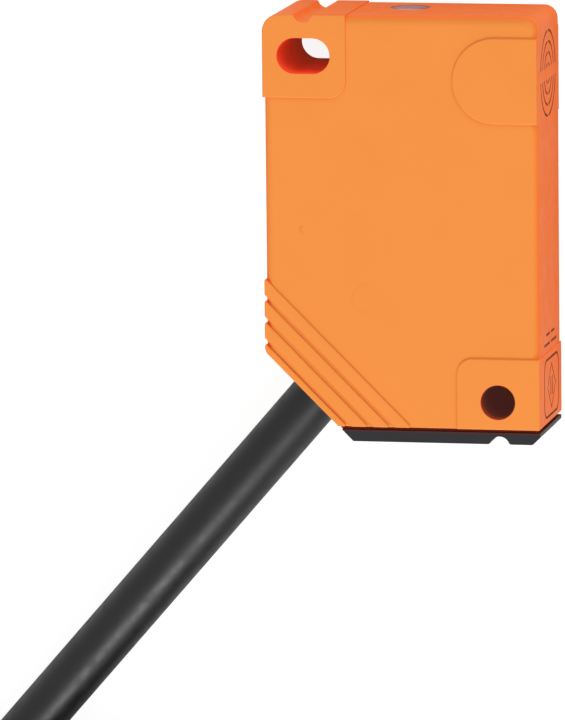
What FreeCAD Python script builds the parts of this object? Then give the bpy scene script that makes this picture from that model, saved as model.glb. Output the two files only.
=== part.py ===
import FreeCAD, Part
import math
import os

# Block inductive sensor, 40 x 26 x 12 mm, with a fixed cable at its bevelled corner.
# It lies on its large back face. +X is the sensing side, +Y the status window's end, +Z the front.
# The origin is under the middle of the block, on the surface it lies on. Millimetres.

V = FreeCAD.Vector

# Block
width = 26.0
height = 40.0
depth = 12.0
left, right = -width / 2, width / 2
bottom, top = -height / 2, height / 2
mid_z = depth / 2
face_recess = 0.18     # how far the plain large faces lie below the pads and ribs
side_recess = 0.10     # the same for the narrow faces
front_round = 0.8      # between the front and the narrow faces
back_round = 0.3
rim_round = 0.12       # along the shell's rim above the base cover
pad_edge = 0.12        # softened rim of pads and ribs
corner_left = 1.65     # outline corner at the slot
corner_right = 1.3     # outline corner at the sensing end
bevel = 8.3            # leg of the 45 degree corner where the cable leaves
bevel_round = 1.0
joint_y = bottom + 1.38  # where shell and base cover meet
wall = 1.25
bevel_wall = 1.6
cavity_round = 0.6     # corners of the hollow

# Raised pads, from the block's left and bottom edges
slot_pad = (left + 7.9, bottom + 32.2, 1.6)    # inner corner x, y and radius
screw_pad = (left + 18.13, bottom + 8.03, 1.5)
sense_y = bottom + 34.0                        # axis of the coil and of the round-ended pad
sense_pad_radius = 4.0
sense_pad_x = left + 17.9

# Bevel ribs: the bevel's own band, then three ribs, all parallel to the bevel
rib_pitch = 1.45
rib_gap = 0.32
first_groove = 6.61    # middle of the first groove, from the block's corner, square to the bevel
rib_count = 3

# Fixing holes
hole_x, hole_y = left + 22.05, bottom + 3.96
hole_r = 1.6
slot_x, slot_y = left + 3.91, bottom + 36.14
slot_length, slot_width = 5.0, 3.3
slot_block = (left + 7.7, bottom + 33.1, 1.0)  # solid corner round the slot: x, y and radius
mouth_break = 0.05                             # bevel at the mouths of both holes
tie_groove_r = 0.95                            # half-round grooves beside the two holes
tie_groove_depth = 0.74
groove_lip = 0.25                              # rounded lips of those grooves

# Status window in the top narrow face
window_x, window_z = left + 12.6, 4.25
window_r = 1.9
window_flange_r = 2.4

# Base cover
cover_inset = 0.2
cover_neck = 0.30      # height of the shadow gap under the shell
cover_neck_inset = 0.45
cover_slant = (0.72, 0.72)  # slanted corner at the sensing side: across and up
plate_rounds = (0.2, 0.3, 0.12)   # plate's corners: bevel end, foot and head of the slant
skirt_left = left + 10.9
skirt_height = 2.6
skirt_wall = 1.0
fit_gap = 0.03
lug_r = 3.1
lug_web = 0.4          # how far the lug's web lies inside the lug's left side
lug_groove_x = hole_x + 0.1

# Cable
cable_d = 5.0
cable_r = cable_d / 2
# Route of the lead: from inside the shell, out of the bevel, down to the surface and to the coil
route = [
    V(-4.75, -11.48, 6.0),
    V(-15.23, -23.58, 6.0),
    V(-36.26, -47.58, 2.5),
    V(-56.57, -71.02, 2.5),
]
heading = (route[0] - route[1]).normalize()      # into the block
cable_inside = 6.0                               # from the jacket's inner end to the bevel's face
cable_exit = route[0] - heading * cable_inside
seal_r = 3.4
seal_inner_flange_r = 3.9
seal_inner_flange = 0.8

# Coil: layers of turns one on the other, each turn a little over a diameter from the next
turns_wide = 4
layers = 3
outer_turn_r = 37.75
turn_pitch = 5.2
inner_turn_r = outer_turn_r - (turns_wide - 1) * turn_pitch
coil_in = inner_turn_r - cable_r
coil_out = outer_turn_r + cable_r
coil_height = layers * cable_d
second_layer_z = 1.5 * cable_d
lead_bay = (12.0, 40.0)       # room for the incoming lead: outwards and back along it
last_turn_before = 72.0       # degrees before the lead's entry where the last turn tops the innermost
lead_direction = (route[3] - route[2]).normalize()
to_centre = V(-lead_direction.y, lead_direction.x, 0)
coil_centre = V(route[3].x, route[3].y, 0) + to_centre * outer_turn_r
start_angle = math.degrees(math.atan2(-to_centre.y, -to_centre.x))

# Cable tie round the coil
tie_angle = start_angle + 198.0
tie_width = 3.6
tie_thick = 1.1
tie_head = (6.0, 5.4, 4.2)    # across the strap, along it, height
tie_head_r = 33.0             # distance of the head from the coil's middle
tie_tail, tie_tail_z = 2.2, 1.4   # trimmed end: how far it stands out of the head, and its height
tie_inner_z = 4.9             # height of the innermost turn that the strap goes round
tie_head_round, tie_head_top_round = 0.8, 0.5
tie_window = (2.6, 2.8, 1.6)  # opening in the head's top: across the strap, along it, depth
tie_pawl = (1.6, 0.9)         # locking tongue in that opening: length and height
tie_rail, tie_rail_high = 0.55, 0.22   # rails along the strap's edges: width and height
hump_half = 14.0              # degrees of coil lifted over the strap, each side

# Stripped end: three cores that run on along the coil
core_r = 0.65
ferrule_r = 0.9        # collar
ferrule_pin_r = 0.56
ferrule_collar = 2.2
ferrule_length = 8.0
ferrule_crimps = (3.4, 4.9, 6.4)          # grooves pressed into the pin, from the core's end
ferrule_crimp = (0.6, 0.10)               # their length and depth
tail_bay = (3.05, 1.3, 92.0)  # bay for the cores: outwards and up from the turn below, degrees
end_angle = start_angle + 45.0   # where the jacket ends, on the coil's top layer

# Sensing coil, on the axis through the middle of the target
core_face = right - side_recess - wall - 0.15
core_length = 3.4
core_r_outer = 4.2
core_bore = 0.9
core_window = (2.0, 3.8, 2.4)   # winding space: inner radius, outer radius, depth
core_slots = (2.4, 3.6, 0.6)    # openings in its back for the leads: from, to, half height
former_gap = 0.05
former_wall = 0.3
former_slots = (2.7, 3.3, 0.3)
winding_gap = 0.02
winding_fill = 0.25             # how far the winding stays below the flanges' rim
coil_lead_r = 0.11
coil_lead_side = 3.1            # distance of the leads' ends from the axis
coil_lead_back = 4.6            # how far behind the winding they end

# Circuit board: outline from the block's left and bottom edges
board_z0, board_z1 = 5.0, 5.8
board_corner = 0.5
board_outline = [(2.4, 12.2), (23.8, 12.2), (23.8, 29.0), (19.4, 29.0), (19.4, 37.6), (8.4, 37.6),
                 (8.4, 32.3), (2.4, 32.3)]
pin_thick = 0.18
plate_thick = 0.15              # end plates of the two-ended moulded parts
pad_xs = [left + 8.4, left + 11.2, left + 14.0]   # solder pads of the brown, black and blue cores
pad_y = bottom + 13.6
joint_cone = (1.05, 0.5, 0.8)   # solder fillet: radius at the foot and at the top, height
core_places = [(0.78, -0.42), (0.0, 0.85), (-0.78, -0.42)]   # in the jacket's inner end

# Stripped end of the cable on the coil's top
core_starts = [(-0.78, -0.42), (0.0, 0.9), (0.78, -0.42)]   # in the jacket's end: outwards, up
core_rests = [(-1.0, 3.04), (0.55, 3.15), (2.0, 2.48)]      # on the turn of the layer below
# Degrees past the jacket's end, share of the way down, and how far the core is tucked inwards
core_steps = [(0.25, 0.0, 0.0), (10, 0.1, 0.0), (30, 0.9, 0.0), (50, 1.0, 0.3), (68, 1.0, 1.8)]


# ---------------------------------------------------------------- helpers
def outline(corners, z=0.0):
    """Closed wire through (x, y, radius) corners, each rounded by a tangent arc."""
    spans = []
    count = len(corners)
    for index, (x, y, radius) in enumerate(corners):
        here = V(x, y, z)
        before = (V(*corners[index - 1][:2], z) - here).normalize()
        after = (V(*corners[(index + 1) % count][:2], z) - here).normalize()
        half = before.getAngle(after) / 2
        reach = radius / math.tan(half)
        middle = here + (before + after).normalize() * (radius / math.sin(half) - radius)
        spans.append((here + before * reach, middle, here + after * reach))
    edges = []
    for index, (start, middle, end) in enumerate(spans):
        if not start.isEqual(end, 1e-6):
            edges.append(Part.Arc(start, middle, end).toShape())
        following = spans[(index + 1) % count][0]
        if not end.isEqual(following, 1e-6):
            edges.append(Part.LineSegment(end, following).toShape())
    return Part.Wire(edges)


def prism(corners, z0, z1):
    return Part.Face(outline(corners, z0)).extrude(V(0, 0, z1 - z0))


def rectangle(x0, y0, x1, y1, radius=0.0):
    return [(x0, y0, radius), (x1, y0, radius), (x1, y1, radius), (x0, y1, radius)]


def block(x0, y0, z0, x1, y1, z1, radius=0.0):
    return prism(rectangle(x0, y0, x1, y1, radius), z0, z1)


def rod(radius, start, end):
    along = end - start
    return Part.makeCylinder(radius, along.Length, start, along)


def ring(outer, inner, start, end):
    return rod(outer, start, end).cut(rod(inner, start, end))


def face_edges(solid, z, keep_y):
    """Edges in the plane z, without those along the line y = keep_y."""
    found = []
    for edge in solid.Edges:
        box = edge.BoundBox
        on_joint = box.YLength < 1e-6 and abs(box.YMin - keep_y) < 1e-6
        if box.ZLength < 1e-6 and abs(box.ZMin - z) < 1e-6 and not on_joint:
            found.append(edge)
    return found


def joint_edges(solid):
    """Edges in the plane where the shell meets the base cover."""
    boxes = [(edge, edge.BoundBox) for edge in solid.Edges]
    return [edge for edge, box in boxes if box.YLength < 1e-6 and abs(box.YMin - joint_y) < 1e-6]


def join(solids):
    return solids[0].multiFuse(solids[1:]).removeSplitter()


def path_of(points):
    """Straight runs joined by tangent arcs as large as the runs allow, and the arcs' radii."""
    edges, radii = [], []
    start = points[0]
    for before, here, after in zip(points, points[1:], points[2:]):
        back, ahead = before - here, after - here
        half_turn = (math.pi - back.getAngle(ahead)) / 2
        reach = 0.45 * min(back.Length, ahead.Length)
        radius = reach / math.tan(half_turn)
        back.normalize()
        ahead.normalize()
        bulge = radius / math.cos(half_turn) - radius
        middle = here + (back + ahead).normalize() * bulge
        edges.append(Part.LineSegment(start, here + back * reach).toShape())
        edges.append(Part.Arc(here + back * reach, middle, here + ahead * reach).toShape())
        start = here + ahead * reach
        radii.append(radius)
    edges.append(Part.LineSegment(start, points[-1]).toShape())
    return Part.Wire(edges), radii


def tube(points, radius):
    """Round solid along the points."""
    path, _ = path_of(points)
    along = points[1] - points[0]
    section = Part.Wire([Part.makeCircle(radius, points[0], along)])
    return path.makePipeShell([section], True, True)


# ---------------------------------------------------------------- shell
def block_corners(inset, bevel_inset, floor_y):
    """The block's outline, drawn in by inset, open to floor_y, with the bevelled corner."""
    cut = left + bottom + bevel + bevel_inset * math.sqrt(2)
    return [
        (left + inset, cut - (left + inset), bevel_round),
        (cut - floor_y, floor_y, 0.0),
        (right - inset, floor_y, 0.0),
        (right - inset, top - inset, corner_right - inset / 2),
        (left + inset, top - inset, corner_left - inset / 2),
    ]


def plain_block():
    """The block below its pads, with its large faces' rims rounded."""
    low, high = face_recess, depth - face_recess
    solid = prism(block_corners(side_recess, side_recess, joint_y), low, high)
    solid = solid.makeFillet(front_round, face_edges(solid, high, joint_y))
    solid = solid.makeFillet(back_round, face_edges(solid, low, joint_y))
    return solid.makeFillet(rim_round, joint_edges(solid))


def full_block():
    return prism(block_corners(0.0, 0.0, joint_y), 0.0, depth)


def raised(region):
    """A pad: the part of the full block inside the region, with a soft rim."""
    pad = full_block().common(prism(region, 0.0, depth))
    rims = face_edges(pad, 0.0, joint_y) + face_edges(pad, depth, joint_y) + joint_edges(pad)
    return pad.makeFillet(pad_edge, rims)


def pads():
    x, y, radius = slot_pad
    slot_region = [(left - 1, y, 0), (x, y, radius), (x, top + 1, 0), (left - 1, top + 1, 0)]
    x, y, radius = screw_pad
    screw_region = [(x, joint_y, 0), (right + 1, joint_y, 0), (right + 1, y, 0), (x, y, radius)]
    low, high = sense_y - sense_pad_radius, sense_y + sense_pad_radius
    side = right - side_recess
    sense_region = [
        (sense_pad_x, low, sense_pad_radius - 0.01),
        (side, low, 0),
        (side, high, 0),
        (sense_pad_x, high, sense_pad_radius - 0.01),
    ]
    return [raised(slot_region), raised(screw_region), raised(sense_region)]


def ribs():
    """Bars parallel to the bevel that run round the block; the first is the bevel's own band."""
    corner = left + bottom
    bands = [(bevel / math.sqrt(2) - 1, first_groove - rib_gap / 2)]
    for index in range(rib_count):
        groove = first_groove + index * rib_pitch
        bands.append((groove + rib_gap / 2, groove + rib_pitch - rib_gap / 2))
    solids = []
    for near, far in bands:
        near_sum, far_sum = corner + near * math.sqrt(2), corner + far * math.sqrt(2)
        band = [
            (left - 2, near_sum - (left - 2), 0),
            (near_sum - joint_y, joint_y, 0),
            (far_sum - joint_y, joint_y, 0),
            (left - 2, far_sum - (left - 2), 0),
        ]
        bar = full_block().common(prism(band, 0.0, depth))
        solids.append(bar.makeFillet(pad_edge, bar.Edges))
    return solids


def cavity():
    """The hollow of the shell: open at the joint, with a solid corner left round the slot."""
    inset = side_recess + wall
    corners = block_corners(inset, bevel_wall, joint_y)
    rounded = [(x, y, min(radius, cavity_round)) for x, y, radius in corners[:-1]]
    step_x, step_y, step_round = slot_block
    rounded += [(step_x, top - inset, cavity_round), (step_x, step_y, step_round),
                (left + inset, step_y, cavity_round)]
    return prism(rounded, wall, depth - wall)


def slot_cutter():
    half_long, half_wide = slot_length / 2, slot_width / 2
    corners = rectangle(slot_x - half_long, slot_y - half_wide,
                        slot_x + half_long, slot_y + half_wide, half_wide - 0.001)
    return prism(corners, -1, depth + 1)


def hole_cutter():
    return rod(hole_r, V(hole_x, hole_y, -1), V(hole_x, hole_y, depth + 1))


def groove_cutter(x, edge_y, outward):
    """Half-round groove across a narrow face, with rounded lips; outward is +1 or -1 along Y."""
    rise = tie_groove_r - tie_groove_depth
    middle_y, lip_y = edge_y + outward * rise, edge_y - outward * groove_lip
    between = tie_groove_r + groove_lip
    reach = math.sqrt(between ** 2 - (rise + groove_lip) ** 2)
    touch_y = middle_y - outward * (rise + groove_lip) * tie_groove_r / between
    near, far = sorted((touch_y, edge_y + outward))
    mouth = block(x - reach, near, -1, x + reach, far, depth + 1)
    for side in (-1, 1):
        mouth = mouth.cut(rod(groove_lip, V(x + side * reach, lip_y, -1),
                              V(x + side * reach, lip_y, depth + 1)))
    return mouth.fuse(rod(tie_groove_r, V(x, middle_y, -1), V(x, middle_y, depth + 1)))


def mouths(solid, wanted):
    """Breaks the sharp rims where a through hole meets the pads."""
    rims = []
    for edge in solid.Edges:
        box = edge.BoundBox
        in_face = box.ZLength < 1e-6 and min(abs(box.ZMin), abs(box.ZMin - depth)) < 1e-6
        if in_face and wanted(box):
            rims.append(edge)
    return solid.makeChamfer(mouth_break, rims)


def near_hole(box):
    near = abs(box.Center.x - hole_x) < hole_r and abs(box.Center.y - hole_y) < hole_r
    return near and box.DiagonalLength < 3 * hole_r


def near_slot(box):
    near = abs(box.Center.x - slot_x) < slot_length / 2 and abs(box.Center.y - slot_y) < slot_width
    return near and box.DiagonalLength < slot_length + 0.5


def housing_shell():
    body = join([plain_block()] + pads() + ribs())
    for cut in (slot_cutter(), hole_cutter(), groove_cutter(slot_x, top, 1)):
        body = body.cut(cut)
    body = mouths(body, near_hole)
    body = mouths(body, near_slot)
    window_seat = [
        rod(window_r + 0.01, V(window_x, top + 1, window_z), V(window_x, top - 3, window_z)),
        rod(seal_r + 0.01, cable_exit - heading * 4, cable_exit + heading * 4),
    ]
    for cut in window_seat + [cavity()]:
        body = body.cut(cut)
    return body


def base_cover():
    """Plate along the bottom, a neck under the shell, a skirt and a lug inside it."""
    cut = left + bottom + bevel
    plate_top = joint_y - cover_neck
    slant_x, slant_y = cover_slant
    end_round, foot_round, head_round = plate_rounds
    plate = prism(
        [(cut - bottom, bottom, end_round), (right - slant_x, bottom, foot_round),
         (right, bottom + slant_y, head_round), (right, plate_top, 0.0),
         (cut - plate_top, plate_top, 0.0)],
        cover_inset, depth - cover_inset)
    inset = cover_neck_inset
    neck = prism(
        [(cut - plate_top, plate_top, 0.0), (right - inset, plate_top, 0.0),
         (right - inset, joint_y, 0.0), (cut - joint_y, joint_y, 0.0)],
        cover_inset + inset, depth - cover_inset - inset)
    inside = side_recess + wall + fit_gap
    low_z, high_z = wall + fit_gap, depth - wall - fit_gap
    skirt = block(skirt_left, joint_y, low_z, right - inside, joint_y + skirt_height, high_z)
    hollow = block(skirt_left + skirt_wall, joint_y, low_z + skirt_wall,
                   right - inside - skirt_wall, joint_y + skirt_height, high_z - skirt_wall)
    lug = rod(lug_r, V(hole_x, hole_y, low_z), V(hole_x, hole_y, high_z))
    web = block(hole_x - lug_r + lug_web, joint_y, low_z, right - inside, hole_y, high_z)
    lug = lug.fuse(web).common(
        block(left, joint_y, 0, right - inside, hole_y + lug_r + 1, depth))
    solid = join([plate, neck, skirt.cut(hollow), lug])
    return solid.cut(hole_cutter()).cut(groove_cutter(lug_groove_x, bottom, -1))


def led_window():
    """Light guide with a flange behind the wall."""
    inner = top - side_recess - wall
    guide = rod(window_r, V(window_x, inner, window_z), V(window_x, top - side_recess, window_z))
    flange = rod(window_flange_r, V(window_x, inner - 0.6, window_z), V(window_x, inner, window_z))
    return guide.fuse(flange).removeSplitter()


# ---------------------------------------------------------------- sensing coil
def on_axis(x, y=0.0, z=0.0):
    return V(x, sense_y + y, mid_z + z)


def side_slots(solid, start, end, slots):
    """Openings above and below the axis, from start to end along it."""
    first, last, half_tall = slots
    for side in (-1, 1):
        near, far = sorted((side * first, side * last))
        solid = solid.cut(block(start, sense_y + near, mid_z - half_tall,
                                end, sense_y + far, mid_z + half_tall))
    return solid


def ferrite_core():
    inner, outer, deep = core_window
    back = core_face - core_length
    solid = rod(core_r_outer, on_axis(back), on_axis(core_face))
    solid = solid.cut(ring(outer, inner, on_axis(core_face - deep), on_axis(core_face)))
    solid = solid.cut(rod(core_bore, on_axis(back), on_axis(core_face)))
    return side_slots(solid, back, core_face - deep, core_slots)


def coil_former():
    inner, outer, deep = core_window
    start, end = core_face - deep + former_gap, core_face - former_gap
    bore = inner + former_gap
    solids = [ring(bore + former_wall, bore, on_axis(start), on_axis(end))]
    for near, far in ((start, start + former_wall), (end - former_wall, end)):
        solids.append(ring(outer - 2 * former_gap, bore, on_axis(near), on_axis(far)))
    return side_slots(join(solids), start, start + former_wall, former_slots)


def winding_start():
    return core_face - core_window[2] + former_gap + former_wall + winding_gap


def coil_winding():
    inner, outer, _ = core_window
    inside = former_gap + former_wall + winding_gap
    return ring(outer - winding_fill, inner + inside,
                on_axis(winding_start()), on_axis(core_face - inside))


def coil_leads():
    """Two fine wires from the winding back to the board; each steps over onto its pad."""
    start, step_up = winding_start(), 0.35
    leads = []
    for side in (-1, 1):
        leave, land = side * 3.0, side * coil_lead_side
        points = [on_axis(start, leave), on_axis(start - 2.2, leave),
                  on_axis(start - coil_lead_back + 1.0, land, step_up),
                  on_axis(start - coil_lead_back, land, step_up)]
        leads.append(tube(points, coil_lead_r))
    return Part.makeCompound(leads)


# ---------------------------------------------------------------- circuit board
def circuit_board():
    corners = [(left + dx, bottom + dy, board_corner) for dx, dy in board_outline]
    return prism(corners, board_z0, board_z1)


def chip_body(x, y, length, breadth, low, high, rim=0.15):
    solid = block(x - length / 2, y - breadth / 2, low, x + length / 2, y + breadth / 2, high)
    upper = [edge for edge in solid.Edges if edge.BoundBox.ZMin > high - 1e-6]
    return solid.makeChamfer(rim, upper)


def gull_leg(x, y, side, breadth, reach, rise):
    """Bent pin that leaves a chip's long side (side is +1 or -1 along Y) and lands on the board."""
    thick = pin_thick
    y1, y2, y3 = y, y + side * 0.3, y + side * reach
    shoulder = block(x - breadth / 2, min(y1, y2), board_z1 + rise,
                     x + breadth / 2, max(y1, y2), board_z1 + rise + thick)
    drop = block(x - breadth / 2, min(y2 - side * thick, y2), board_z1,
                 x + breadth / 2, max(y2 - side * thick, y2), board_z1 + rise + thick)
    foot = block(x - breadth / 2, min(y2 - side * thick, y3), board_z1,
                 x + breadth / 2, max(y2 - side * thick, y3), board_z1 + thick)
    return [shoulder, drop, foot]


def oscillator_ic():
    x, y = left + 10.2, bottom + 23.6
    solids = [chip_body(x, y, 4.9, 3.9, board_z1 + 0.15, board_z1 + 1.6)]
    for index in range(4):
        pin_x = x + (index - 1.5) * 1.27
        for side in (-1, 1):
            solids += gull_leg(pin_x, y + side * 1.95, side, 0.42, 1.0, 0.6)
    return join(solids)


def output_transistor():
    x, y = left + 19.2, bottom + 19.4
    solids = [chip_body(x, y, 6.5, 3.5, board_z1 + 0.1, board_z1 + 1.7)]
    for index in range(3):
        solids += gull_leg(x + (index - 1) * 2.3, y - 1.75, -1, 0.7, 1.6, 0.7)
    solids += gull_leg(x, y + 1.75, 1, 3.0, 1.6, 0.7)
    return join(solids)


def wrapped_part(x, y, length, breadth, tall, band):
    """Moulded two-ended part: body with a bent end plate at each end."""
    body = chip_body(x, y, length, breadth, board_z1 + 0.1, board_z1 + tall)
    solids = [body]
    outside = length / 2 + plate_thick
    for side in (-1, 1):
        for inside, height_up in ((length / 2 - 0.8, pin_thick), (length / 2, tall / 2)):
            near, far = sorted((x + side * inside, x + side * outside))
            solids.append(block(near, y - band / 2, board_z1,
                                far, y + band / 2, board_z1 + height_up))
    return join(solids)


def surge_suppressor():
    return wrapped_part(left + 6.0, bottom + 18.6, 4.3, 2.6, 2.2, 1.4)


def polarity_diode():
    return wrapped_part(left + 12.4, bottom + 18.0, 4.3, 2.6, 2.2, 1.4)


def two_ended(places, length, breadth, tall):
    """Small two-ended parts on the board's front, as separate solids."""
    solids = []
    for dx, dy, upright in places:
        x, y = left + dx, bottom + dy
        half_x, half_y = (breadth / 2, length / 2) if upright else (length / 2, breadth / 2)
        solid = block(x - half_x, y - half_y, board_z1, x + half_x, y + half_y, board_z1 + tall)
        upper = [edge for edge in solid.Edges if edge.BoundBox.ZMin > board_z1 + tall - 1e-6]
        solids.append(solid.makeFillet(0.1, upper))
    return Part.makeCompound(solids)


def resistors():
    places = [(4.2, 23.0, True), (5.9, 23.0, True), (15.6, 23.4, True), (17.2, 24.6, True),
              (19.0, 25.6, False), (22.0, 25.6, False), (10.2, 28.4, False), (13.4, 28.4, False)]
    return two_ended(places, 2.0, 1.25, 0.5)


def capacitors():
    places = [(5.0, 28.6, False), (10.9, 32.6, False), (14.9, 32.6, False), (12.4, 35.6, False)]
    return two_ended(places, 3.2, 1.6, 1.2)


def indicator_led():
    """Side-looking lamp under the board, facing the status window."""
    case_y = top - 3.35
    case = block(window_x - 1.6, case_y - 1.0, board_z0 - 1.6, window_x + 1.6, case_y, board_z0)
    lens = rod(0.62, V(window_x, case_y, window_z), V(window_x, case_y + 0.45, window_z))
    return case.fuse(lens).removeSplitter()


def solder_joints():
    """Fillets of solder round the ends of the cores and of the coil's leads."""
    spots = [V(x, pad_y, board_z1) for x in pad_xs]
    lead_x = winding_start() - coil_lead_back
    spots += [V(lead_x, sense_y + side * coil_lead_side, board_z1) for side in (-1, 1)]
    wires = [inner_core(index) for index in range(3)] + [coil_leads()]
    solids = []
    foot_r, top_r, tall = joint_cone
    for spot in spots:
        joint = Part.makeCone(foot_r, top_r, tall, spot)
        for wire in wires:
            joint = joint.cut(wire)
        solids += joint.Solids
    return Part.makeCompound(solids)


# ---------------------------------------------------------------- cable inside the shell
def bevel_slab(near, far):
    """Slab parallel to the bevel, from near to far behind its face."""
    reach = 2 * height
    face_sum = left + bottom + bevel
    near_sum, far_sum = face_sum + near * math.sqrt(2), face_sum + far * math.sqrt(2)
    return prism([(near_sum + reach, -reach, 0), (far_sum + reach, -reach, 0),
                  (-reach, far_sum + reach, 0), (-reach, near_sum + reach, 0)], 0, depth)


def cable_seal():
    """Rubber sleeve in the bevel: flush outside, with a flange inside."""
    start, end = cable_exit - heading * 4, cable_exit + heading * 6
    sleeve = ring(seal_r, cable_r, start, end)
    flange = ring(seal_inner_flange_r, cable_r, start, end)
    return join([sleeve.common(bevel_slab(0, bevel_wall)),
                 flange.common(bevel_slab(bevel_wall, bevel_wall + seal_inner_flange))])


def cable_crimp():
    return ring(cable_r + 0.45, cable_r, cable_exit + heading * 3.8, cable_exit + heading * 5.6)


def cable_lead():
    return tube(route, cable_r)


def inner_core(index):
    """One core from the jacket's inner end to its solder pad."""
    across, up = core_places[index]
    side = V(-heading.y, heading.x, 0)
    first = route[0] + side * across + V(0, 0, up)
    target = V(pad_xs[index], pad_y + 0.4, board_z1 + 0.1 + core_r)
    return tube([first, first + heading * 1.6, target - V(0, 2.2, 0), target], core_r)


# ---------------------------------------------------------------- coil of cable
def polar(radius, angle, z):
    turn = math.radians(angle)
    return coil_centre + V(radius * math.cos(turn), radius * math.sin(turn), z)


def section_face(corners, angle):
    """A face with (radius, z, rounding) corners, standing in the coil's radial plane at angle."""
    face = Part.Face(outline(corners))
    face.rotate(V(0, 0, 0), V(1, 0, 0), 90)
    face.rotate(V(0, 0, 0), V(0, 0, 1), angle)
    face.translate(coil_centre)
    return face


def coil_corners(low, high, inner_z, grow=0.0):
    """Section of the wound turns, whose innermost column is only as high as a turn at inner_z."""
    reach = cable_r + grow
    slope = math.atan2(high - cable_r - inner_z, turn_pitch)
    edge_r, top_z = inner_turn_r - reach, high + grow
    touch_r, touch_z = inner_turn_r - reach * math.sin(slope), inner_z + reach * math.cos(slope)
    low_corner = touch_z + (edge_r - touch_r) * math.tan(slope)
    high_corner = touch_r + (top_z - touch_z) / math.tan(slope)
    soft = reach - 0.01
    return [
        (edge_r, low - grow, soft), (coil_out + grow, low - grow, soft),
        (coil_out + grow, top_z, soft), (high_corner, top_z, 0.9 * soft),
        (edge_r, low_corner, 0.9 * soft),
    ]


def turned(face, degrees):
    return face.revolve(coil_centre, V(0, 0, 1), degrees)


def sector(corners, first, last):
    """The section turned about the coil's axis from one angle to the other."""
    return turned(section_face(corners, first), last - first)


def cable_coil():
    """Outer shape of the wound turns, with bays for the lead, the strap and the stripped cores."""
    low, high = tie_angle - hump_half, tie_angle + hump_half
    plain = sector(coil_corners(0, coil_height, second_layer_z), high, low + 360)
    hump = sector(tie_section(0), low, high)
    soft = cable_r - 0.01
    last_turn = sector(
        [(coil_in, cable_r, soft), (coil_out, cable_r, soft), (coil_out, coil_height, soft),
         (coil_in, coil_height, soft)],
        start_angle - last_turn_before, end_angle)
    solid = plain.fuse([hump, last_turn])
    end = route[3]
    outward, back = to_centre * -lead_bay[0], lead_direction * -lead_bay[1]
    near = end + to_centre * cable_r
    bay = [near, end + outward, end + outward + back, near + back]
    solid = solid.cut(prism([(point.x, point.y, 0) for point in bay], -1, cable_d))
    bay_r, bay_z = inner_turn_r + tail_bay[0], second_layer_z + tail_bay[1]
    bay = [(0.5 * coil_in, bay_z, 0), (bay_r, bay_z, 0), (bay_r, 2 * coil_height, 0),
           (0.5 * coil_in, 2 * coil_height, 0)]
    solid = solid.cut(sector(bay, end_angle, end_angle + tail_bay[2]))
    return solid.cut(strap_loop())


def tie_section(grow):
    return coil_corners(tie_thick, coil_height + tie_thick, tie_inner_z, grow)


def strap_layer(low, high, breadth):
    """Band round the coil's section, from low to high off the turns."""
    outer = section_face(tie_section(high), tie_angle)
    inner = section_face(tie_section(low), tie_angle)
    across = V(-math.sin(math.radians(tie_angle)), math.cos(math.radians(tie_angle)), 0)
    band = outer.cut(inner).Faces[0].extrude(across * breadth)
    band.translate(across * (-breadth / 2))
    return band


def strap_loop():
    return strap_layer(0, tie_thick, tie_width)


def tie_opening(tall):
    """Opening in the head's top, less the tongue that slants down across it."""
    wide, long, deep = tie_window
    opening = block(-long / 2, -wide / 2, tall - deep, long / 2, wide / 2, tall + 1)
    pawl_long, pawl_high = tie_pawl
    start, foot = -long / 2, tall - deep
    side = Part.Face(outline([(start, foot - 1, 0), (start + pawl_long, foot - 1, 0),
                              (start + pawl_long, foot, 0), (start, foot + pawl_high, 0)]))
    side.rotate(V(0, 0, 0), V(1, 0, 0), 90)
    pawl = side.extrude(V(0, -wide * 0.7, 0))
    pawl.translate(V(0, wide * 0.35, 0))
    return opening.cut(pawl)


def cable_tie():
    """Strap round the coil's section, with its locking head and the trimmed tail on top."""
    wide, deep, tall = tie_head
    head = block(-deep / 2, -wide / 2, 0, deep / 2, wide / 2, tall,
                 tie_head_round)
    upper = [edge for edge in head.Edges if edge.BoundBox.ZMin > tall - 1e-6]
    head = head.makeFillet(tie_head_top_round, upper)
    tail = block(deep / 2 - 0.5, -tie_width / 2, tie_tail_z, deep / 2 + tie_tail,
                 tie_width / 2, tie_tail_z + tie_thick)
    head = head.fuse(tail).cut(tie_opening(tall))
    head.rotate(V(0, 0, 0), V(0, 0, 1), tie_angle)
    head.translate(polar(tie_head_r, tie_angle, coil_height + 2 * tie_thick - 0.05))
    between_rails = strap_layer(tie_thick - tie_rail_high, tie_thick + 1,
                                tie_width - 2 * tie_rail)
    return join([strap_loop().cut(between_rails), head])


# ---------------------------------------------------------------- stripped far end
def core_points(index):
    """From the jacket's end down to the turns below, and on along them."""
    jacket_end = (inner_turn_r, coil_height - cable_r)
    start_r, start_z = (a + b for a, b in zip(jacket_end, core_starts[index]))
    rest_r, rest_z = (a + b for a, b in zip((inner_turn_r, second_layer_z), core_rests[index]))
    return [polar(start_r + (rest_r - start_r) * share - tuck, end_angle + degrees,
                  start_z + (rest_z - start_z) * share) for degrees, share, tuck in core_steps]


def wire_end(index):
    return tube(core_points(index), core_r)


def wire_ferrules():
    """Crimped sleeves that carry on from the cores."""
    sleeves = []
    for index in range(3):
        before, end = core_points(index)[-2:]
        along = (end - before).normalize()
        sleeve = rod(ferrule_pin_r, end, end + along * ferrule_length)
        crimp_long, crimp_deep = ferrule_crimp
        for start in ferrule_crimps:
            near = end + along * start
            sleeve = sleeve.cut(ring(ferrule_pin_r + crimp_deep, ferrule_pin_r - crimp_deep,
                                     near, near + along * crimp_long))
        collar = rod(ferrule_r, end, end + along * ferrule_collar)
        sleeves.append(sleeve.fuse(collar).removeSplitter())
    return Part.makeCompound(sleeves)


# ---------------------------------------------------------------- assembly
def only_solids(shape):
    solids = shape.Solids
    return solids[0] if len(solids) == 1 else Part.makeCompound(solids)


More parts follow.
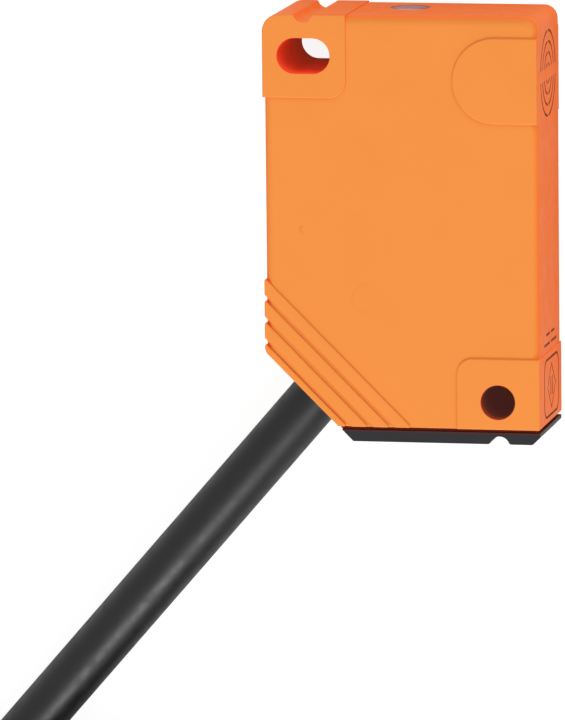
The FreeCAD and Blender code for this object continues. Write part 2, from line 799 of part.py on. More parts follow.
def build():
    nodes = {
        "housing_shell": housing_shell(),
        "base_cover": base_cover(),
        "led_window": led_window(),
        "ferrite_core": ferrite_core(),
        "coil_former": coil_former(),
        "coil_winding": coil_winding(),
        "coil_leads": coil_leads(),
        "circuit_board": circuit_board(),
        "oscillator_ic": oscillator_ic(),
        "output_transistor": output_transistor(),
        "surge_suppressor": surge_suppressor(),
        "polarity_diode": polarity_diode(),
        "resistors": resistors(),
        "capacitors": capacitors(),
        "indicator_led": indicator_led(),
        "solder_joints": solder_joints(),
        "cable_seal": cable_seal(),
        "cable_crimp": cable_crimp(),
        "conductor_brown": inner_core(0),
        "conductor_black": inner_core(1),
        "conductor_blue": inner_core(2),
        "cable_lead": cable_lead(),
        "cable_coil": cable_coil(),
        "cable_tie": cable_tie(),
        "wire_end_brown": wire_end(0),
        "wire_end_black": wire_end(1),
        "wire_end_blue": wire_end(2),
        "wire_ferrules": wire_ferrules(),
    }
    outside = {"housing_shell", "cable_coil", "cable_tie", "wire_end_brown", "wire_end_black",
               "wire_end_blue", "wire_ferrules"}
    resin = cavity().cut(hole_cutter())
    for name, shape in nodes.items():
        if name not in outside:
            resin = resin.cut(shape)
    nodes["potting_compound"] = resin
    return nodes


def report_cord():
    path, radii = path_of(route)
    solid = cable_lead()
    expected = path.Length * math.pi * cable_r ** 2
    print("cord radii mm:", [round(radius, 1) for radius in radii])
    print("tube volume / (section x length): %.4f" % (solid.Volume / expected))
    print("lead length mm: %.1f, of it outside the bevel: %.1f"
          % (path.Length, path.Length - (cable_exit - route[0]).Length))


def main():
    os.makedirs("parts", exist_ok=True)
    for name, shape in build().items():
        shape = only_solids(shape)
        shape.exportStep(os.path.join("parts", name + ".step"))
        print("%-20s solids %d valid %s volume %.1f"
              % (name, len(shape.Solids), shape.isValid(), shape.Volume))
    report_cord()


main()
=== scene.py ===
import math

import bmesh
import bpy
from mathutils import Matrix, Vector


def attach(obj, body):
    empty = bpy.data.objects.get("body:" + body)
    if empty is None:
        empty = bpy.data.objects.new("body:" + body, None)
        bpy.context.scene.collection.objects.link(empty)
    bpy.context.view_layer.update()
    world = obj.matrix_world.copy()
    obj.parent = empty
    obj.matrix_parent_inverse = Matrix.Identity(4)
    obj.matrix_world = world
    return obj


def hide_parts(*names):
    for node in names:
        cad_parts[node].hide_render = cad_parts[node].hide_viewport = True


# Block inductive sensor with its cable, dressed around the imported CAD, in the row's frame: +X is the
# sensing side, +Y the status window's end, +Z the front that faces the camera. The object's sizes
# are given in millimetres, and MM or mm() turns them into Blender's metres. The distances of the
# camera and the lights, and the sizes of the lights and the floor, are given in metres.

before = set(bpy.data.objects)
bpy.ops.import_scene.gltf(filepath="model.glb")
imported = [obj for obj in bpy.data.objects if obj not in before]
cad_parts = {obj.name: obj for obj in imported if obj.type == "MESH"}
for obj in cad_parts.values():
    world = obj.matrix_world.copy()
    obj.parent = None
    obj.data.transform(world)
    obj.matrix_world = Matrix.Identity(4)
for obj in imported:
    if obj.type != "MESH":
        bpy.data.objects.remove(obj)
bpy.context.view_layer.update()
MM = 0.001


def mm(x, y, z):
    """Point in metres from millimetres."""
    return Vector((x, y, z)) * MM


# ---------------------------------------------------------------- camera
def make_camera():
    """A long lens above the block's upper right, turned and tilted a little from straight down."""
    yaw, pitch, roll = math.radians(11.60), math.radians(8.88), math.radians(-0.60)
    target = mm(-11.33, -12.45, 12.0)
    distance = 0.829
    back = Vector((math.sin(yaw) * math.cos(pitch), math.sin(pitch),
                   math.cos(yaw) * math.cos(pitch)))
    right = Vector((0, 1, 0)).cross(back).normalized()
    up = back.cross(right)
    turned_right = right * math.cos(roll) + up * math.sin(roll)
    turned_up = up * math.cos(roll) - right * math.sin(roll)
    data = bpy.data.cameras.new("camera")
    data.lens = 444.25
    data.sensor_width = 36.0
    data.clip_start = 0.05
    data.clip_end = 20.0
    camera = bpy.data.objects.new("camera", data)
    bpy.context.collection.objects.link(camera)
    place = Matrix((turned_right, turned_up, back)).transposed().to_4x4()
    place.translation = target + back * distance
    camera.matrix_world = place
    bpy.context.scene.camera = camera


make_camera()

# ---------------------------------------------------------------- cable
CABLE_D = 5.0
# From inside the block, out through the bevel and down to the surface
ROUTE = [Vector(p) for p in ((-4.75, -11.48, 6.0), (-15.23, -23.58, 6.0),
                             (-36.26, -47.58, 2.5), (-56.57, -71.02, 2.5))]
# The coil starts at the last point, and its first turn goes on in the same direction
COIL_R = 37.75
TURN_PITCH = 5.2
LEAD_DIRECTION = (ROUTE[3] - ROUTE[2]).normalized()
TO_CENTRE = Vector((-LEAD_DIRECTION.y, LEAD_DIRECTION.x, 0))
COIL_CENTRE = Vector((ROUTE[3].x, ROUTE[3].y, 0)) + TO_CENTRE * COIL_R
START_ANGLE = math.atan2(-TO_CENTRE.y, -TO_CENTRE.x)
# Where the winding moves over to the next column or up a layer: from and to, in turns, and steps
MOVES = [(0.71, 0.98, -1, 0), (1.71, 1.98, -1, 0), (2.71, 2.98, -1, 0), (3.47, 3.71, 0, 1),
         (4.19, 4.47, 1, 0), (5.19, 5.47, 1, 0), (6.19, 6.47, 1, 0), (6.90, 7.16, 0, 1),
         (7.58, 7.86, -1, 0), (8.58, 8.86, -1, 0), (9.58, 9.86, -1, 0)]
TURNS = 10.125
# The turns rise over the strap of the tie
STRAP_AT = 0.55                        # in turns
STRAP_LIFT = 1.1
LIFT_LENGTH = 27.0
POINTS_PER_TURN = 24
STEPS_PER_POINT = 12
SECTION_DETAIL = 8                     # gives the cable's round section 20 sides


def ease(x):
    """Smooth step from 0 to 1 as x goes from 0 to 1."""
    x = min(1.0, max(0.0, x))
    return x * x * (3 - 2 * x)


def winding_point(turn, swell):
    """Centre of the cable after so many turns, in mm; swell makes up for the spline's inner cut."""
    radius, height = COIL_R, CABLE_D / 2
    for start, end, across, up in MOVES:
        share = ease((turn - start) / (end - start))
        radius += TURN_PITCH * across * share
        height += CABLE_D * up * share
    off = (turn - STRAP_AT) % 1
    arc_length = min(off, 1 - off) * 2 * math.pi * radius
    height += STRAP_LIFT * ease(1 - arc_length / LIFT_LENGTH)
    angle = START_ANGLE + 2 * math.pi * turn
    return COIL_CENTRE + Vector((radius * swell * math.cos(angle),
                                 radius * swell * math.sin(angle), height))


def make_cable():
    """The whole cable as one tube, along a spline."""
    step = 1 / POINTS_PER_TURN
    cut = math.cos(math.pi / POINTS_PER_TURN)
    swell = 2 / (1 + cut)
    points = list(ROUTE)
    for index in range(1, round(TURNS / step)):
        points.append(winding_point(index * step, swell))
    points.append(winding_point(TURNS, 1.0))
    curve = bpy.data.curves.new("cable_route", "CURVE")
    curve.dimensions = "3D"
    spline = curve.splines.new("NURBS")
    spline.points.add(len(points) - 1)
    for slot, point in zip(spline.points, points):
        slot.co = (*(point * MM), 1.0)
    spline.order_u = 3
    spline.use_endpoint_u = True
    spline.resolution_u = STEPS_PER_POINT
    route = bpy.data.objects.new("cable_route", curve)
    line = bpy.data.meshes.new_from_object(route)
    curve.bevel_depth = CABLE_D / 2 * MM
    curve.bevel_resolution = SECTION_DETAIL
    curve.use_fill_caps = True
    mesh = bpy.data.meshes.new_from_object(route)
    mesh.name = "cable"
    for face in mesh.polygons:
        face.use_smooth = len(face.vertices) == 4
    bpy.data.meshes.remove(line)
    bpy.data.curves.remove(curve)
    cable = bpy.data.objects.new("cable", mesh)
    bpy.context.collection.objects.link(cable)
    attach(cable, "root")
    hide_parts("cable_lead", "cable_coil")
    return cable


cable = make_cable()


# ---------------------------------------------------------------- materials
# A Mix node's colour sockets share their names with its number sockets, so they go by number
MIX_SHARE, MIX_FROM, MIX_TO, MIX_OUT = 0, 6, 7, 2


def mix_colours(nodes, links, mask, low, high):
    """Socket with the colour low where the mask is 0 and high where it is 1. Low may be a socket."""
    node = nodes.new("ShaderNodeMix")
    node.data_type = "RGBA"
    if isinstance(low, bpy.types.NodeSocket):
        links.new(low, node.inputs[MIX_FROM])
    else:
        node.inputs[MIX_FROM].default_value = (*low, 1.0)
    node.inputs[MIX_TO].default_value = (*high, 1.0)
    links.new(mask, node.inputs[MIX_SHARE])
    return node.outputs[MIX_OUT]


class Shader:
    """A Principled material with helpers for its procedural detail."""

    def __init__(self, name, colour, roughness, specular=0.5, metallic=0.0):
        self.material = bpy.data.materials.new(name)
        self.material.use_nodes = True
        self.nodes = self.material.node_tree.nodes
        self.links = self.material.node_tree.links
        self.shader = self.nodes["Principled BSDF"]
        self.colour = colour
        self.set("Base Color", (*colour, 1.0))
        self.set("Roughness", roughness)
        self.set("Specular IOR Level", specular)
        self.set("Metallic", metallic)
        self.place = self.nodes.new("ShaderNodeTexCoord").outputs["Object"]
        self.bumped = None

    def set(self, name, value):
        self.shader.inputs[name].default_value = value

    def join(self, source, target):
        self.links.new(source, target)

    def noise(self, size, detail=2.0):
        """Noise whose features are about size millimetres across."""
        node = self.nodes.new("ShaderNodeTexNoise")
        node.inputs["Scale"].default_value = 1 / (size * MM)
        node.inputs["Detail"].default_value = detail
        self.join(self.place, node.inputs["Vector"])
        return node.outputs["Fac"]

    def ramp(self, source, low, high, to_low=0.0, to_high=1.0):
        """Smooth step from to_low to to_high as the source goes from low to high."""
        node = self.nodes.new("ShaderNodeMapRange")
        node.interpolation_type = "SMOOTHSTEP"
        for name, value in (("From Min", low), ("From Max", high), ("To Min", to_low),
                            ("To Max", to_high)):
            node.inputs[name].default_value = value
        self.join(source, node.inputs["Value"])
        return node.outputs["Result"]

    def math(self, operation, *values):
        """Result of a math node on sockets or plain numbers."""
        node = self.nodes.new("ShaderNodeMath")
        node.operation = operation
        for socket, value in zip(node.inputs, values):
            if isinstance(value, (int, float)):
                socket.default_value = value
            else:
                self.join(value, socket)
        return node.outputs["Value"]

    def length(self, dx, dy):
        """Length of the flat vector with these two components."""
        squares = [self.math("MULTIPLY", part, part) for part in (dx, dy)]
        return self.math("SQRT", self.math("ADD", *squares))

    def tint(self, mask, colour):
        """Colour that replaces the base where the mask is 1."""
        base = self.shader.inputs["Base Color"]
        below = base.links[0].from_socket if base.links else self.colour
        self.join(mix_colours(self.nodes, self.links, mask, below, colour), base)

    def glow(self, mask, colour):
        """Painted light: the surface glows with this colour where the mask is 1."""
        self.join(mix_colours(self.nodes, self.links, mask, (0, 0, 0), colour),
                  self.shader.inputs["Emission Color"])
        self.set("Emission Strength", 1.0)

    def vary_roughness(self, mask, low, high):
        self.join(self.ramp(mask, 0.3, 0.7, low, high), self.shader.inputs["Roughness"])

    def bump(self, height, depth):
        """Relief that is depth millimetres high where height is 1."""
        node = self.nodes.new("ShaderNodeBump")
        node.inputs["Distance"].default_value = depth * MM
        node.inputs["Strength"].default_value = 1.0
        self.join(height, node.inputs["Height"])
        if self.bumped:
            self.join(self.bumped, node.inputs["Normal"])
        self.bumped = node.outputs["Normal"]
        self.join(self.bumped, self.shader.inputs["Normal"])

    def axes(self):
        """Sockets X, Y and Z with the place on the object, in metres."""
        node = self.nodes.new("ShaderNodeSeparateXYZ")
        self.join(self.place, node.inputs["Vector"])
        return node.outputs

    def upward(self):
        """How far the surface faces along Z, without its sign."""
        node = self.nodes.new("ShaderNodeSeparateXYZ")
        self.join(self.nodes.new("ShaderNodeNewGeometry").outputs["Normal"], node.inputs["Vector"])
        return self.math("ABSOLUTE", node.outputs["Z"])


def scaled(colour, factor):
    return tuple(min(1.0, c * factor) for c in colour)


MOTTLE_RANGE = (0.35, 0.7)             # of the noise that mottles a colour
FINE_DETAIL = 3.0                      # of the noise for mottling and grain


def moulded(name, colour, roughness, specular, grain=0.25, depth=0.004, mottle=0.06):
    """Injection-moulded plastic with a fine spark-eroded grain and slight mottling."""
    patch_size, wear_size = 6.0, 1.5
    made = Shader(name, colour, roughness, specular)
    patches = made.ramp(made.noise(patch_size, FINE_DETAIL), *MOTTLE_RANGE)
    made.tint(patches, scaled(colour, 1 - mottle))
    made.vary_roughness(made.noise(wear_size), roughness - 0.05, roughness + 0.07)
    made.bump(made.noise(grain, FINE_DETAIL), depth)
    return made


def metal(name, colour, roughness, grain=0.12, depth=0.0012):
    """Bare metal with slight stains and a very fine grain."""
    stain_size, wear_size = 1.2, 0.6
    made = Shader(name, colour, roughness, specular=0.5, metallic=1.0)
    stains = made.ramp(made.noise(stain_size, FINE_DETAIL), *MOTTLE_RANGE)
    made.tint(stains, scaled(colour, 0.9))
    made.vary_roughness(made.noise(wear_size), roughness - 0.04, roughness + 0.08)
    made.bump(made.noise(grain, FINE_DETAIL), depth)
    return made


ORANGE = (0.83, 0.26, 0.047)
# Painted shade: a redder orange for the narrow faces and their rounded edges, for how the light falls
# on them
SIDE_SHADE_ORANGE = (0.96, 0.18, 0.015)
# Painted shade: a deep red for the shell's walls inside the slot
SLOT_SHADE_RED = (0.97, 0.085, 0.028)
SLOT_GLOW = (0.034, 0.012, 0.004)      # painted light: glow of the shell's walls in the slot and the hole
# Painted shade: a dark red for the shell's wall inside the round hole
HOLE_SHADE_RED = (0.38, 0.03, 0.010)
HOLE_GLOW = (0.034, 0.0095, 0.008)     # painted light: glow of the cover's wall in the hole; also the painted shadow of the floor that shows below it
COVER_BLACK = (0.022, 0.020, 0.023)
# Painted reflection: browner for the orange light bounced into the cover's bore
COVER_HOLE_BOUNCE_BROWN = (0.22, 0.07, 0.05)
# Painted reflection: browner and redder for the orange shell reflected on the black under it
GAP_REFLECTION_BROWN = (0.08, 0.014, 0.007)
NECK_REFLECTION_RED = (0.32, 0.020, 0.004)
WINDOW_VIOLET = (0.20, 0.078, 0.10)
# Painted highlight: paler edge of the window
WINDOW_HIGHLIGHT = (0.62, 0.44, 0.46)
JACKET_BLACK = (0.0040, 0.0043, 0.0056)
INK = (0.20, 0.03, 0.012)

SLOT = (-9.09, 16.14, 5.0, 3.3)        # middle x, y, length and width
HOLE = (9.05, -16.04, 1.6)             # middle x, y and radius
WALL_FADE = (0.01, 0.06)               # how far outside a wall its colour starts to end, and ends
BODY_SIDE, BODY_TOP = 12.9, 19.9       # the plain narrow faces
SIDE_SHADE_FADE = (0.9, 0.36)                # how far inside them their painted shade starts, and is full
TILT_FADE = (0.35, 0.995)              # upward values where their painted shade is full, and ends
GAP_FADE = (-19.10, -18.96)            # y of the gap between cover and shell, from below
NECK_FADE = (-18.91, -18.87)           # y of the cover's neck right under the shell
HIGHLIGHT_FADE = (4.9, 6.3)                 # z where the painted highlight makes the window paler
# Middle, radius and breadth of each curl, and the share of its tint that shows
FLOW_MARKS = [((-9.3, -0.1), 0.28, 0.20, 0.5), ((-3.3, -6.5), 1.30, 0.30, 0.12)]
FLOW_DEPTH = 0.004


def fade(made, source, ends, to_low=0.0, to_high=1.0):
    """Smooth step between two places in millimetres."""
    return made.ramp(source, ends[0] * MM, ends[1] * MM, to_low, to_high)


def wall_mask(made, reach, radius):
    """1 on a wall that is radius from its middle, where reach is the distance from there."""
    return fade(made, reach, [radius + beyond for beyond in WALL_FADE], 1.0, 0.0)


def reach_from(made, x, y, middle):
    """Distance from an axis along Z."""
    dx, dy = (made.math("SUBTRACT", axis, value * MM) for axis, value in zip((x, y), middle))
    return made.length(dx, dy)


def slot_mask(made, x, y):
    """1 on the walls of the slot."""
    middle_x, middle_y, length, width = SLOT
    along = made.math("ABSOLUTE", made.math("SUBTRACT", x, middle_x * MM))
    dx = made.math("MAXIMUM", made.math("SUBTRACT", along, (length - width) / 2 * MM), 0.0)
    dy = made.math("SUBTRACT", y, middle_y * MM)
    return wall_mask(made, made.length(dx, dy), width / 2)


def hole_mask(made, x, y):
    """1 on the wall of the round hole."""
    return wall_mask(made, reach_from(made, x, y, HOLE[:2]), HOLE[2])


def flow_mark(made, x, y, middle, radius, breadth):
    """Faint curl, open towards +X, that the mould leaves on the large face."""
    off = made.math("SUBTRACT", reach_from(made, x, y, middle), radius * MM)
    line = fade(made, made.math("ABSOLUTE", off), (0.2 * breadth, breadth), 1.0, 0.0)
    closed_side = fade(made, x, (middle[0] - 0.2 * radius, middle[0] + 0.4 * radius), 1.0, 0.0)
    return made.math("MULTIPLY", line, closed_side)


def make_orange():
    """Orange plastic with painted shade: redder on the narrow faces, their rounded edges and the walls
    of the slot and the hole, whose walls also glow a little as painted light, with two faint curls on
    the large face."""
    made = moulded("orange_plastic", ORANGE, 0.5, 0.18, mottle=0.015)
    axes = made.axes()
    x, y = axes["X"], axes["Y"]
    # Painted shade on the narrow faces and their rounded edges
    near_side = fade(made, made.math("ABSOLUTE", x), [BODY_SIDE - inside for inside in SIDE_SHADE_FADE])
    near_top = fade(made, y, [BODY_TOP - inside for inside in SIDE_SHADE_FADE])
    edge = made.math("MAXIMUM", near_side, near_top)
    tilted = made.ramp(made.upward(), *TILT_FADE, 1.0, 0.0)
    made.tint(made.math("MULTIPLY", edge, tilted), SIDE_SHADE_ORANGE)
    for middle, radius, breadth, share in FLOW_MARKS:
        curl = flow_mark(made, x, y, middle, radius, breadth)
        made.tint(made.math("MULTIPLY", curl, share), scaled(ORANGE, 0.8))
        made.bump(curl, -FLOW_DEPTH)
    # Painted shade on the walls of the slot and the hole
    slot, hole = slot_mask(made, x, y), hole_mask(made, x, y)
    made.tint(slot, SLOT_SHADE_RED)
    made.tint(hole, HOLE_SHADE_RED)
    # Painted light: the walls of the slot and the hole glow a little
    made.glow(made.math("MAXIMUM", slot, hole), SLOT_GLOW)
    return made


def make_cover_black():
    """Black plastic with painted reflection of the orange shell: browner in the round hole, which also
    glows as painted light, and in the gap under the shell, and redder above.
    """
    made = moulded("black_plastic", COVER_BLACK, 0.5, 0.3)
    axes = made.axes()
    x, y = axes["X"], axes["Y"]
    # Painted reflection of the orange shell on the black, in the gap under the shell and on the neck
    # right under it
    made.tint(fade(made, y, GAP_FADE), GAP_REFLECTION_BROWN)
    made.tint(fade(made, y, NECK_FADE), NECK_REFLECTION_RED)
    # Painted reflection of the orange walls in the bore, and painted light as its glow
    bore = hole_mask(made, x, y)
    made.tint(bore, COVER_HOLE_BOUNCE_BROWN)
    made.glow(bore, HOLE_GLOW)
    return made


def make_window_plastic():
    """Smoked violet plastic, with a painted highlight that makes it paler at its edge next to the
    large face.
    """
    made = moulded("window_plastic", WINDOW_VIOLET, 0.14, 0.5, depth=0.0004)
    # Painted highlight at the edge next to the large face
    made.tint(fade(made, made.axes()["Z"], HIGHLIGHT_FADE), WINDOW_HIGHLIGHT)
    return made


def make_winding():
    """Enamelled wire laid side by side round the sensing axis, which is along X."""
    wire_pitch, wire_relief = 0.12, 0.02
    made = metal("enamelled_copper", (0.75, 0.28, 0.10), 0.28)
    waves = made.math("MULTIPLY", made.axes()["X"], 2 * math.pi / (wire_pitch * MM))
    made.bump(made.math("SINE", waves), wire_relief)
    return made


def make_laminate():
    """Solder resist over slanting tracks, which show in patches as raised, lighter lines."""
    track_pitch, track_relief = 1.27, 0.03
    made = moulded("board_laminate", (0.012, 0.11, 0.045), 0.35, 0.5)
    axes = made.axes()
    slant = made.math("ADD", axes["X"], axes["Y"])
    lines = made.math("FRACT", made.math("DIVIDE", slant, track_pitch * MM))
    track = made.ramp(made.math("ABSOLUTE", made.math("SUBTRACT", lines, 0.5)), 0.12, 0.18, 1, 0)
    patch = made.ramp(made.noise(4.0, 0.0), 0.48, 0.52)
    tracks = made.math("MULTIPLY", track, patch)
    made.tint(tracks, (0.03, 0.20, 0.07))
    made.bump(tracks, track_relief)
    return made


window_plastic = make_window_plastic()
jacket = moulded("cable_jacket", JACKET_BLACK, 0.43, 0.57, grain=0.3, depth=0.003)
mark_ink = moulded("mark_ink", INK, 0.6, 0.05, depth=0.001)

# What each material slot of the CAD is dressed with
FINISHES = {
    "shell_plastic": make_orange(),
    "cover_plastic": make_cover_black(),
    "window_plastic": window_plastic,
    "cable_jacket": jacket,
    "ferrite": moulded("ferrite", (0.035, 0.034, 0.036), 0.75, 0.3, grain=0.1, depth=0.01),
    "former_nylon": moulded("former_nylon", (0.75, 0.72, 0.62), 0.45, 0.4),
    "enamelled_copper": make_winding(),
    "board_laminate": make_laminate(),
    "chip_epoxy": moulded("chip_epoxy", (0.018, 0.018, 0.019), 0.62, 0.4, grain=0.12),
    "resistor_ceramic": moulded("resistor_ceramic", (0.03, 0.03, 0.035), 0.4, 0.5),
    "capacitor_ceramic": moulded("capacitor_ceramic", (0.42, 0.30, 0.17), 0.4, 0.5),
    "lamp_resin": moulded("lamp_resin", (0.80, 0.62, 0.30), 0.2, 0.5, depth=0.001),
    "solder": metal("solder", (0.72, 0.72, 0.74), 0.22),
    "seal_rubber": moulded("seal_rubber", (0.02, 0.02, 0.021), 0.7, 0.3),
    "crimp_brass": metal("crimp_brass", (0.80, 0.58, 0.28), 0.3),
    "core_brown": moulded("core_brown", (0.13, 0.040, 0.015), 0.38, 0.5),
    "core_black": moulded("core_black", (0.012, 0.012, 0.013), 0.38, 0.5),
    "core_blue": moulded("core_blue", (0.015, 0.075, 0.36), 0.38, 0.5),
    "tie_nylon": moulded("tie_nylon", (0.60, 0.585, 0.53), 0.42, 0.4),
    "ferrule_tin": metal("ferrule_tin", (0.78, 0.77, 0.75), 0.25),
    "potting_resin": moulded("potting_resin", (0.03, 0.022, 0.018), 0.3, 0.5),
}
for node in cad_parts.values():
    for slot in node.material_slots:
        slot.material = FINISHES[slot.material.name.split(".")[0]].material
cable.data.materials.append(jacket.material)


# ---------------------------------------------------------------- pieces
def new_piece(name, bm, made, smooth=False):
    """Object made of the finished bmesh, riding the one body."""
    mesh = bpy.data.meshes.new(name)
    bmesh.ops.recalc_face_normals(bm, faces=bm.faces)
    bm.to_mesh(mesh)
    bm.free()
    for face in mesh.polygons:
        face.use_smooth = smooth
    mesh.materials.append(made.material)
    piece = bpy.data.objects.new(name, mesh)
    bpy.context.collection.objects.link(piece)
    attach(piece, "root")
    return piece


MARK_WIDTH = 0.22
MARK_THICK = 0.008                     # above the face
MARK_SUNK = 0.012                      # below it
PAD_SIDE = 13.0                        # the raised pads' face


def ribbon(bm, points, x, closed=False):
    """Thin raised line through (y, z) points on the sensing face at x."""
    rows = []
    count = len(points)
    for index, point in enumerate(points):
        before = points[index - 1] if closed or index else point
        after = points[(index + 1) % count] if closed or index < count - 1 else point
        along = (Vector(after) - Vector(before)).normalized()
        side = Vector((-along.y, along.x)) * MARK_WIDTH / 2
        row = []
        for depth in (x - MARK_SUNK, x + MARK_THICK):
            for sign in (-1, 1):
                y, z = Vector(point) + side * sign
                row.append(bm.verts.new(mm(depth, y, z)))
        rows.append(row)
    spans = list(zip(rows, rows[1:])) + ([(rows[-1], rows[0])] if closed else [])
    for first, second in spans:
        for a, b in ((0, 1), (1, 3), (3, 2), (2, 0)):
            bm.faces.new((first[a], first[b], second[b], second[a]))
    if not closed:
        for row in (rows[0], rows[-1]):
            bm.faces.new((row[0], row[1], row[3], row[2]))


def arc(middle, radius, start, end, steps=24):
    """Points along an arc, from one angle in degrees to another."""
    angles = [math.radians(start + (end - start) * index / steps) for index in range(steps + 1)]
    return [(middle[0] + radius * math.cos(a), middle[1] + radius * math.sin(a)) for a in angles]


def make_target_mark():
    """Rings round the sensing face's middle, open at a band across the block and a gap along it."""
    middle = (14.14, 5.95)             # y, z
    ring_radii = (0.95, 1.95, 2.95, 3.98)
    half_band, half_gap = 0.55, 0.28
    bm = bmesh.new()
    for radius in ring_radii:
        low = math.degrees(math.asin(half_gap / radius))
        high = math.degrees(math.acos(half_band / radius))
        for start, end in ((low, high), (-high, -low), (180 - high, 180 - low),
                           (180 + low, 180 + high)):
            ribbon(bm, arc(middle, radius, start, end), BODY_SIDE)
    return new_piece("target_mark", bm, mark_ink)


def rounded_box(low, high, radius):
    """Points round a rectangle with rounded corners."""
    (y0, z0), (y1, z1) = low, high
    points = []
    for centre, start in (((y1 - radius, z1 - radius), 0), ((y0 + radius, z1 - radius), 90),
                          ((y0 + radius, z0 + radius), 180), ((y1 - radius, z0 + radius), 270)):
        points += arc(centre, radius, start, start + 90, 8)
    return points


def make_type_mark():
    """Plain proximity-switch sign: a diamond with two bars, in a rounded frame, and four dashes."""
    frame_low, frame_high, frame_round = (-18.0, 1.7), (-12.6, 9.3), 1.2
    y, z = -15.3, 5.5                  # the diamond's middle
    half_diamond, half_bar, bar_off = 2.1, 0.9, 0.45
    dash_start = 0.4
    dash_rows = ((-11.2, 3.2), (-10.3, 2.2))       # y, and how far the dashes reach from the middle
    bm = bmesh.new()
    ribbon(bm, rounded_box(frame_low, frame_high, frame_round), PAD_SIDE, closed=True)
    ribbon(bm, [(y + half_diamond, z), (y, z + half_diamond), (y - half_diamond, z),
                (y, z - half_diamond)], PAD_SIDE, closed=True)
    for offset in (-bar_off, bar_off):
        ribbon(bm, [(y - half_bar, z + offset), (y + half_bar, z + offset)], PAD_SIDE)
    for level, dash_end in dash_rows:
        for sign in (-1, 1):
            ribbon(bm, [(level, z + sign * dash_start), (level, z + sign * dash_end)], BODY_SIDE)
    return new_piece("type_mark", bm, mark_ink)


def make_window():
    """Light guide's visible face: a shallow dome in a grooved rim, turned about its own axis."""
    # Radius and y: the dome, the groove, the rim, then the barrel and flange inside the shell
    profile = [(0.0, 19.975), (0.7, 19.967), (1.2, 19.945), (1.5, 19.915), (1.67, 19.875),
               (1.71, 19.80), (1.76, 19.80), (1.79, 19.88), (1.85, 19.90), (1.90, 19.87),
               (1.90, 18.55), (2.40, 18.55), (2.40, 17.95), (0.0, 17.95)]
    middle_x, middle_z = -0.4, 4.25
    steps = 64
    turns = [2 * math.pi * index / steps for index in range(steps)]
    bm = bmesh.new()
    rings = []
    for radius, y in profile:
        if radius == 0.0:
            rings.append([bm.verts.new(mm(middle_x, y, middle_z))] * steps)
            continue
        rings.append([bm.verts.new(mm(middle_x + radius * math.cos(t), y,
                                      middle_z + radius * math.sin(t))) for t in turns])
    for inner, outer in zip(rings, rings[1:]):
        for index in range(steps):
            following = (index + 1) % steps
            corners = [inner[index], outer[index], outer[following], inner[following]]
            # On the axis two of the corners are the same, which leaves a triangle
            bm.faces.new(list(dict.fromkeys(corners)))
    piece = new_piece("status_window", bm, window_plastic, smooth=True)
    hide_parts("led_window")
    return piece


target_mark = make_target_mark()
type_mark = make_type_mark()
status_window = make_window()


# ---------------------------------------------------------------- stage
FLOOR_HALF = 6.0
FLOOR_LEVEL = -1e-5                    # just under the cable
FLOOR_GREY = (0.88, 0.88, 0.88, 1)
FLOOR_GLOW = 1.2
GLOW_SHARE = 0.75                      # of the floor that the camera sees, the rest is lit grey
UNDER_HOLE = (2.0, 2.6)                # mm from the hole's axis where the floor's painted shadow ends and the glow turns white


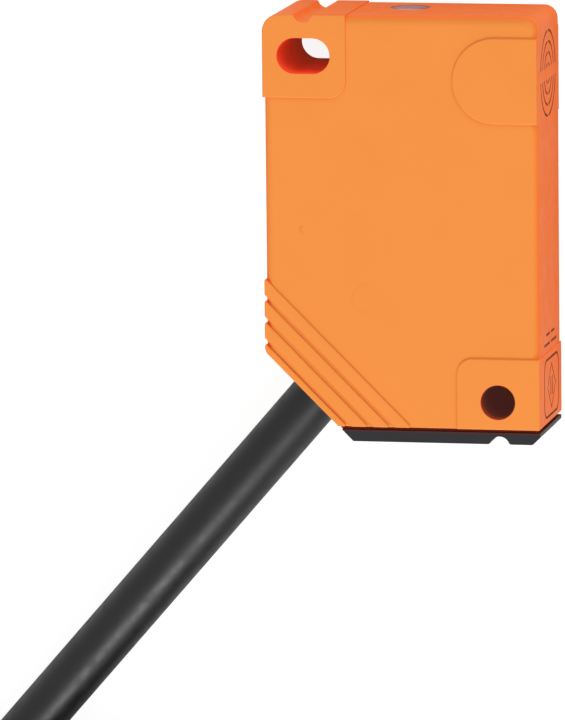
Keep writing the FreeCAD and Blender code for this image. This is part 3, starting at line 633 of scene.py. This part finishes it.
def make_floor():
    """Pale floor that glows to the camera only, but is dark with a painted shadow where it shows
    through the hole.
    """
    half, level = FLOOR_HALF, FLOOR_LEVEL
    mesh = bpy.data.meshes.new("floor")
    corners = [(-half, -half, level), (half, -half, level), (half, half, level),
               (-half, half, level)]
    mesh.from_pydata(corners, [], [(0, 1, 2, 3)])
    floor = bpy.data.objects.new("floor", mesh)
    bpy.context.collection.objects.link(floor)
    material = bpy.data.materials.new("pale_floor")
    material.use_nodes = True
    nodes, links = material.node_tree.nodes, material.node_tree.links
    nodes.clear()
    out = nodes.new("ShaderNodeOutputMaterial")
    diffuse = nodes.new("ShaderNodeBsdfDiffuse")
    diffuse.inputs["Color"].default_value = FLOOR_GREY
    glow = nodes.new("ShaderNodeEmission")
    glow.inputs["Strength"].default_value = FLOOR_GLOW
    # Painted shadow: near the hole's axis the glow takes the hole's dim colour instead of white
    distance = nodes.new("ShaderNodeVectorMath")
    distance.operation = "DISTANCE"
    links.new(nodes.new("ShaderNodeTexCoord").outputs["Object"], distance.inputs[0])
    distance.inputs[1].default_value = mm(HOLE[0], HOLE[1], 0.0)
    clear = nodes.new("ShaderNodeMapRange")
    clear.inputs["From Min"].default_value = UNDER_HOLE[0] * MM
    clear.inputs["From Max"].default_value = UNDER_HOLE[1] * MM
    links.new(distance.outputs["Value"], clear.inputs["Value"])
    colour = mix_colours(nodes, links, clear.outputs["Result"], HOLE_GLOW, (1, 1, 1))
    links.new(colour, glow.inputs["Color"])
    path = nodes.new("ShaderNodeLightPath")
    share = nodes.new("ShaderNodeMath")
    share.operation = "MULTIPLY"
    share.inputs[1].default_value = GLOW_SHARE
    links.new(path.outputs["Is Camera Ray"], share.inputs[0])
    mix = nodes.new("ShaderNodeMixShader")
    links.new(share.outputs["Value"], mix.inputs["Fac"])
    links.new(diffuse.outputs["BSDF"], mix.inputs[1])
    links.new(glow.outputs["Emission"], mix.inputs[2])
    links.new(mix.outputs["Shader"], out.inputs["Surface"])
    floor.data.materials.append(material)


def area_light(name, direction, distance, size, radiance, only=None):
    """Round soft light aimed at the block, with the radiance that its face shows. With only, it
    lights the objects of that collection and nothing else."""
    data = bpy.data.lights.new(name, "AREA")
    data.shape = "DISK"
    data.size = size
    face_area = math.pi * (size / 2) ** 2
    data.energy = radiance * math.pi * face_area
    light = bpy.data.objects.new(name, data)
    bpy.context.collection.objects.link(light)
    towards = Vector(direction).normalized()
    light.location = towards * distance
    light.rotation_mode = "QUATERNION"
    light.rotation_quaternion = (-towards).to_track_quat("-Z", "Y")
    if only:
        light.light_linking.receiver_collection = only


def make_world(strength):
    world = bpy.data.worlds.new("studio")
    world.use_nodes = True
    background = world.node_tree.nodes["Background"]
    background.inputs["Color"].default_value = (1, 1, 1, 1)
    background.inputs["Strength"].default_value = strength
    bpy.context.scene.world = world


make_floor()
make_world(strength=0.62)
# What the fill and the rim light fall on: they leave out the black cover and the cable
block = bpy.data.collections.new("block")
for piece in (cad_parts["housing_shell"], status_window, target_mark, type_mark):
    block.objects.link(piece)
area_light("key", direction=(-0.08, -0.78, 0.62), distance=0.9, size=0.45, radiance=9.3)
area_light("fill", direction=(0.44, 0.78, 0.46), distance=0.9, size=0.6, radiance=3.3, only=block)
area_light("rim", direction=(0.0, -1.0, 0.06), distance=0.9, size=0.4, radiance=5.5, only=block)
bpy.context.scene.view_settings.view_transform = "Standard"
bpy.context.view_layer.update()
